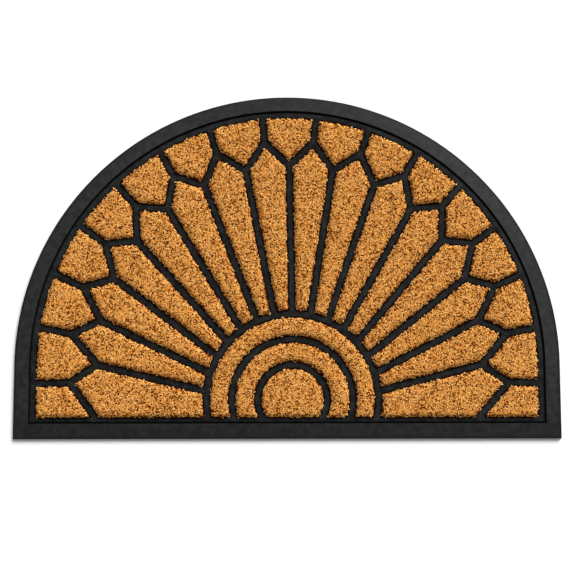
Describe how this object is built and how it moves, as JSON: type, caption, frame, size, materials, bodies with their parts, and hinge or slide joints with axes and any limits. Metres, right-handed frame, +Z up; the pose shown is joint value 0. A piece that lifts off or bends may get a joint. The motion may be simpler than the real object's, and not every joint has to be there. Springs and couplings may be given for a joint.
{
  "type": "half-round coir and rubber doormat",
  "caption": "Half-round doormat of moulded black rubber with a sloping border and a fan of raised coir pads parted by low ribs.",
  "frame": {"origin": "centre of the mat's bounding box, on the ground under the mat", "axes": "+X along the straight edge, +Y from the straight edge towards the top of the arc, +Z up from the ground"},
  "size_m": [0.75, 0.478, 0.012],
  "materials": {
    "rubber": "matte moulded black rubber",
    "coir": "short upright natural coir pile"
  },
  "bodies": {
    "root": {"rubber_base": "rubber", "coir_ray_01": "coir", "coir_ray_02": "coir", "coir_ray_03": "coir", "coir_ray_04": "coir", "coir_ray_05": "coir", "coir_ray_06": "coir", "coir_ray_07": "coir", "coir_ray_08": "coir", "coir_ray_09": "coir", "coir_ray_10": "coir", "coir_ray_11": "coir", "coir_ray_12": "coir", "coir_ray_13": "coir", "coir_ray_14": "coir", "coir_ray_15": "coir", "coir_ray_16": "coir", "coir_rim_01": "coir", "coir_rim_02": "coir", "coir_rim_03": "coir", "coir_rim_04": "coir", "coir_rim_05": "coir", "coir_rim_06": "coir", "coir_rim_07": "coir", "coir_rim_08": "coir", "coir_rim_09": "coir", "coir_rim_10": "coir", "coir_rim_11": "coir", "coir_rim_12": "coir", "coir_rim_13": "coir", "coir_rim_14": "coir", "coir_rim_15": "coir", "coir_rim_16": "coir", "coir_rim_17": "coir", "coir_arch_outer": "coir", "coir_arch_middle": "coir", "coir_disc": "coir"}
  },
  "joints": []
}
